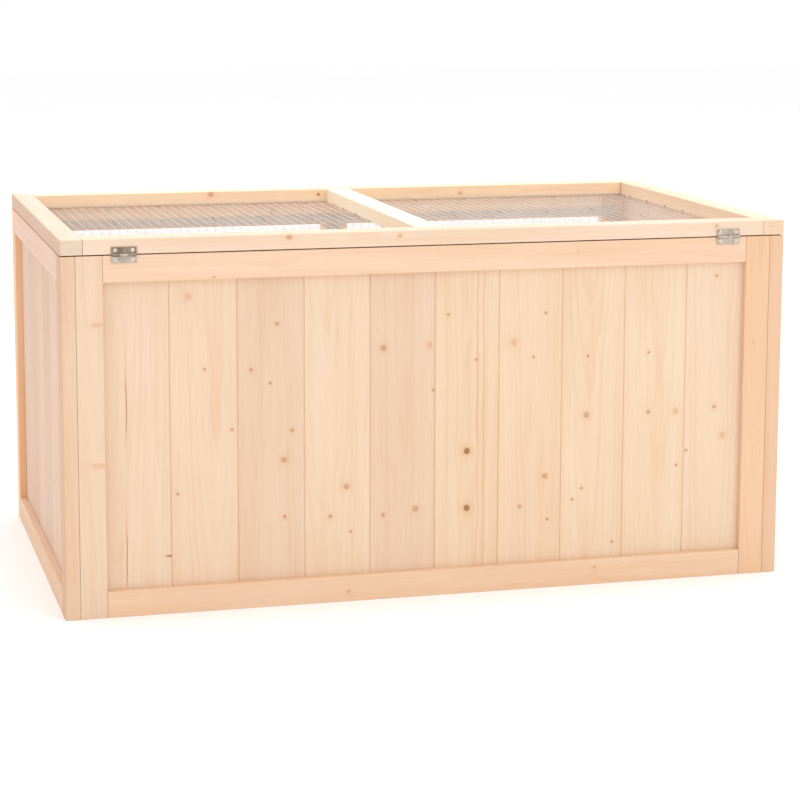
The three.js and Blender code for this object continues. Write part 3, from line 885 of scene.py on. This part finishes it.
def addWireSheets():
    tree = wireSheetTree()
    empty = bpy.data.meshes.new("sheetHost")
    flat, upright = (0, 0, 0), (math.radians(90), 0, 0)
    pitch = wireMesh["pitch"] * millimetre
    hemPitch = wireMesh["hemPitch"] * millimetre
    hem = wireMesh["hemWidth"] * millimetre
    turnUp = wireMesh["turnUp"] * millimetre
    turnUpPitch = wireMesh["turnUpPitch"] * millimetre
    away = wireMesh["turnUpGap"] * millimetre

    def weave(name, width, height, gap, turn, place, material=wireZinc):
        return grow(name, tree, empty, {
            "Width": width, "Height": height, "Pitch": gap, "Turn": turn, "Place": place,
            "Wire": wireMesh["wire"] * millimetre,
            "Waver": wireMesh["waver"] * millimetre,
            "Step": wireMesh["step"] * millimetre,
            "Material": material,
        })

    for node in wireMesh["wallSheets"]:
        low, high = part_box(node)
        x, y, z = (low + high) / 2
        width, height = high.x - low.x, high.z - low.z
        inside = y - wireMesh["hemLift"] * millimetre
        patches = [weave("sheet", width, height, pitch, upright, (x, y, z))]
        for level in (low.z + hem / 2, high.z - hem / 2):
            patches.append(weave("hem", width, hem, hemPitch, upright, (x, inside, level), hemPaintedHighlightZinc))
        for side in (low.x + hem / 2, high.x - hem / 2):
            patches.append(weave("hem", hem, height - 2 * hem, hemPitch, upright, (side, inside, z), hemPaintedHighlightZinc))
        piece = mergePieces("frontWire" + node.split("_")[2].capitalize(), patches)
        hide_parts(node)
        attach(piece, "hutch")

    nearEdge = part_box("lid_rear_rail")[1].y + away
    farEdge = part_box("lid_front_rail")[0].y - away
    openings = {
        "lid_mesh_left": (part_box("lid_left_rail")[1].x + away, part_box("lid_centre_bar")[0].x - away),
        "lid_mesh_right": (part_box("lid_centre_bar")[1].x + away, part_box("lid_right_rail")[0].x - away),
    }
    for node in wireMesh["lidSheets"]:
        low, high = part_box(node)
        left, right = openings[node]
        centre = (low + high) / 2
        patches = [weave("sheet", high.x - low.x, high.y - low.y, pitch, flat, tuple(centre), lidPaintedShadeZinc)]
        for edge in (nearEdge, farEdge):
            spot = ((left + right) / 2, edge, high.z + turnUp / 2)
            patches.append(weave("turnUp", right - left, turnUp, turnUpPitch, upright, spot))
        piece = mergePieces("lidWire" + node.split("_")[2].capitalize(), patches)
        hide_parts(node)
        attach(piece, "lid")


addWireSheets()
print("wire sheets woven")


# staples that hold the sheets

def stapleTree():
    tree, given, result = newTree("wireStaple", [
        ("Crown", "Float"), ("Leg", "Float"), ("Wire", "Float"), ("Skew", "Float"), ("Seed", "Int"),
        ("Material", "Material"),
    ])
    points = addNode(tree, "GeometryNodeMeshLine", -6, 2)
    points.inputs["Count"].default_value = 4
    index = addNode(tree, "GeometryNodeInputIndex", -7, 3)
    # 0 and 3 are the tips of the legs, 1 and 2 the corners of the crown
    fromMiddle = doMath(tree, "SUBTRACT", index.outputs[0], 1.5, None, -6, 3)
    halfCrown = doMath(tree, "MULTIPLY", given["Crown"], 0.5)
    across = doMath(tree, "MULTIPLY", doMath(tree, "SIGN", fromMiddle), halfCrown)
    isTip = doMath(tree, "GREATER_THAN", doMath(tree, "ABSOLUTE", fromMiddle), 1.0)
    down = doMath(tree, "MULTIPLY", doMath(tree, "MULTIPLY", isTip, given["Leg"]), -1)
    place = addNode(tree, "GeometryNodeSetPosition", -3, 2)
    feed(tree, place.inputs["Geometry"], points.outputs[0])
    feed(tree, place.inputs["Position"], joinXYZ(tree, across, 0, down, -4, 3))
    path = addNode(tree, "GeometryNodeMeshToCurve", -2, 2)
    feed(tree, path.inputs[0], place.outputs[0])
    bend = addNode(tree, "GeometryNodeFilletCurve", -1, 2)
    feed(tree, bend.inputs["Curve"], path.outputs[0])
    bend.mode = "POLY"
    bend.inputs["Count"].default_value = 3
    feed(tree, bend.inputs["Radius"], doMath(tree, "MULTIPLY", given["Wire"], 0.9, None, -2, 4))
    profile = addNode(tree, "GeometryNodeCurvePrimitiveCircle", -1, 4)
    profile.inputs["Resolution"].default_value = 8
    feed(tree, profile.inputs["Radius"], doMath(tree, "MULTIPLY", given["Wire"], 0.5, None, -2, 5))
    tube = addNode(tree, "GeometryNodeCurveToMesh", 0, 2)
    feed(tree, tube.inputs["Curve"], bend.outputs[0])
    feed(tree, tube.inputs["Profile Curve"], profile.outputs[0])
    tube.inputs["Fill Caps"].default_value = True
    # each shot of the gun lands a little askew
    back = doMath(tree, "MULTIPLY", given["Skew"], -1, None, 1, 5)
    scatter(tree, given, result, tube.outputs[0], back, given["Skew"])
    return tree


staples = {
    "crown": 10,
    "leg": 5,
    "wire": 1.0,
    "skew": 0.35,  # radians either way
    "slant": 0.75,  # radians from straight across the edge of the sheet
    "spacing": 76,
    "inset": 5,  # from the sheet's edge
    "proud": 0.9,  # from the sheet to the middle of the crown's wire
    "seed": 7,
}


def spread(low, high, gap):
    count = max(2, round((high - low) / gap))
    return [low + (high - low) * (step + 0.5) / count for step in range(count)]


def addStaples():
    tree = stapleTree()
    inset = staples["inset"] * millimetre
    gap = staples["spacing"] * millimetre
    proud = staples["proud"] * millimetre
    slant = staples["slant"]
    rightAngle = math.radians(90)
    lidSpots, wallSpots = [], []
    for node in wireMesh["lidSheets"]:
        low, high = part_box(node)
        level = low.z - proud
        for x in spread(low.x + inset, high.x - inset, gap):
            lidSpots.append(((x, low.y + inset, level), (2 * rightAngle, 0, slant)))
            lidSpots.append(((x, high.y - inset, level), (2 * rightAngle, 0, -slant)))
        for y in spread(low.y + 3 * inset, high.y - 3 * inset, gap):
            lidSpots.append(((low.x + inset, y, level), (2 * rightAngle, 0, rightAngle + slant)))
            lidSpots.append(((high.x - inset, y, level), (2 * rightAngle, 0, rightAngle - slant)))
    for node in wireMesh["wallSheets"]:
        low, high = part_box(node)
        level = low.y - proud
        for x in spread(low.x + inset, high.x - inset, gap):
            wallSpots.append(((x, level, high.z - inset), (rightAngle, slant, 0)))
            wallSpots.append(((x, level, low.z + inset), (rightAngle, -slant, 0)))
        for z in spread(low.z + 3 * inset, high.z - 3 * inset, gap):
            wallSpots.append(((low.x + inset, level, z), (rightAngle, rightAngle + slant, 0)))
            wallSpots.append(((high.x - inset, level, z), (rightAngle, rightAngle - slant, 0)))
    for name, spots, body in (("lidStaples", lidSpots, "lid"), ("wallStaples", wallSpots, "hutch")):
        piece = grow(name, tree, hostPoints(name + "Host", spots), {
            "Crown": staples["crown"] * millimetre, "Leg": staples["leg"] * millimetre,
            "Wire": staples["wire"] * millimetre, "Skew": staples["skew"], "Seed": staples["seed"],
            "Material": stapleSteel,
        })
        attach(piece, body)


addStaples()
print("staples driven")


# hinge screws, domed heads with a cross recess

def screwTree():
    tree, given, result = newTree("crossScrew", [
        ("Radius", "Float"), ("Rise", "Float"), ("Recess", "Float"), ("Slot", "Float"), ("Seed", "Int"),
        ("Material", "Material"),
    ])
    ball = addNode(tree, "GeometryNodeMeshUVSphere", -6, 1)
    ball.inputs["Segments"].default_value = 24
    ball.inputs["Rings"].default_value = 14
    ball.inputs["Radius"].default_value = 1
    dome = addNode(tree, "GeometryNodeTransform", -5, 1)
    feed(tree, dome.inputs["Geometry"], ball.outputs[0])
    feed(tree, dome.inputs["Scale"], joinXYZ(tree, given["Radius"], given["Radius"], given["Rise"], -6, 3))
    carve = addNode(tree, "GeometryNodeMeshBoolean", -2, 1, operation="DIFFERENCE")
    feed(tree, carve.inputs["Mesh 1"], dome.outputs[0])
    depth = doMath(tree, "MULTIPLY", given["Rise"], 1.1, None, -5, 5)
    for row in (0, 1):
        bar = addNode(tree, "GeometryNodeMeshCube", -4, 4 + row)
        sides = (given["Recess"], given["Slot"]) if row == 0 else (given["Slot"], given["Recess"])
        feed(tree, bar.inputs["Size"], joinXYZ(tree, sides[0], sides[1], depth, -5, 4 + row))
        lift = addNode(tree, "GeometryNodeTransform", -3, 4 + row)
        feed(tree, lift.inputs["Geometry"], bar.outputs[0])
        feed(tree, lift.inputs["Translation"], joinXYZ(tree, 0, 0, given["Rise"], -4, 6 + row))
        tree.links.new(lift.outputs[0], carve.inputs["Mesh 2"])
    scatter(tree, given, result, carve.outputs[0], 0, math.pi)
    return tree


hingeScrews = {
    "radius": 2.4,
    "rise": 0.8,
    "recess": 2.6,
    "slot": 0.6,
    "fromMiddle": 11.3,
    "fromLeafEdge": 4,
    "leafFace": 0.8,  # how far the leaf's face lies behind the pin's centre line
    "seed": 3,
}


def addHingeScrews():
    tree = screwTree()
    wallSpots, lidSpots = [], []
    aim = (math.radians(90), 0, 0)
    edge = hingeScrews["fromLeafEdge"] * millimetre
    reach = hingeScrews["fromMiddle"] * millimetre
    for side in ("left", "right"):
        pinLow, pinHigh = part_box("hinge_" + side + "_pin")
        pin = (pinLow + pinHigh) / 2
        face = pin.y + hingeScrews["leafFace"] * millimetre
        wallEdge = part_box("hinge_" + side + "_wall_leaf")[0].z + edge
        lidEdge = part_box("hinge_" + side + "_lid_leaf")[1].z - edge
        for way in (-1, 1):
            wallSpots.append(((pin.x + way * reach, face, wallEdge), aim))
            lidSpots.append(((pin.x + way * reach, face, lidEdge), aim))
    for name, spots, body in (("wallHingeScrews", wallSpots, "hutch"), ("lidHingeScrews", lidSpots, "lid")):
        piece = grow(name, tree, hostPoints(name + "Host", spots), {
            "Radius": hingeScrews["radius"] * millimetre, "Rise": hingeScrews["rise"] * millimetre,
            "Recess": hingeScrews["recess"] * millimetre, "Slot": hingeScrews["slot"] * millimetre,
            "Seed": hingeScrews["seed"], "Material": screwZinc,
        })
        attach(piece, body)


addHingeScrews()
print("hinge screws driven")


# floor, light and air

studio = {
    "floorTone": (252, 252, 252),
    "floorCloud": (250, 250, 250),
    "floorHalf": 14,  # metres
    "worldStrength": 1.02,
    "aim": (0, 0, 0.25),  # where the lamps point
    "key": {"spot": (2.2, -4.4, 3.4), "size": 2.6, "power": 28},
    "fill": {"spot": (-3.6, -2.4, 2.2), "size": 3.0, "power": 1.5},
    "top": {"spot": (0.0, 0.4, 4.2), "size": 3.4, "power": 85},
}


def addStudio():
    material, tree, shader = newMaterial("studioFloor")
    place = addNode(tree, "ShaderNodeTexCoord", -6)
    cloud = addNoise(tree, place.outputs["Object"], 0.8, 2, 0.5, -5)
    shade = mixColour(tree, cloud, tone(*studio["floorTone"]), tone(*studio["floorCloud"]))
    feed(tree, shader.inputs["Base Color"], shade)
    shader.inputs["Roughness"].default_value = 0.9
    half = studio["floorHalf"]
    sheet = bpy.data.meshes.new("studioFloor")
    corners = [(-half, -half, 0), (half, -half, 0), (half, half, 0), (-half, half, 0)]
    sheet.from_pydata(corners, [], [(0, 1, 2, 3)])
    sheet.materials.append(material)
    ground = bpy.data.objects.new("studioFloor", sheet)
    scene.collection.objects.link(ground)
    for name in ("key", "fill", "top"):
        data = bpy.data.lights.new(name + "Light", "AREA")
        data.shape = "DISK"
        data.size = studio[name]["size"]
        data.energy = studio[name]["power"]
        lamp = bpy.data.objects.new(name + "Light", data)
        lamp.location = studio[name]["spot"]
        toHutch = Vector(studio["aim"]) - lamp.location
        lamp.rotation_euler = toHutch.to_track_quat("-Z", "Y").to_euler()
        scene.collection.objects.link(lamp)
    world = bpy.data.worlds.new("studioAir")
    world.use_nodes = True
    air = world.node_tree.nodes["Background"]
    air.inputs["Color"].default_value = (1, 1, 1, 1)
    air.inputs["Strength"].default_value = studio["worldStrength"]
    scene.world = world
    scene.view_settings.view_transform = "Standard"


addStudio()
print("studio lit")
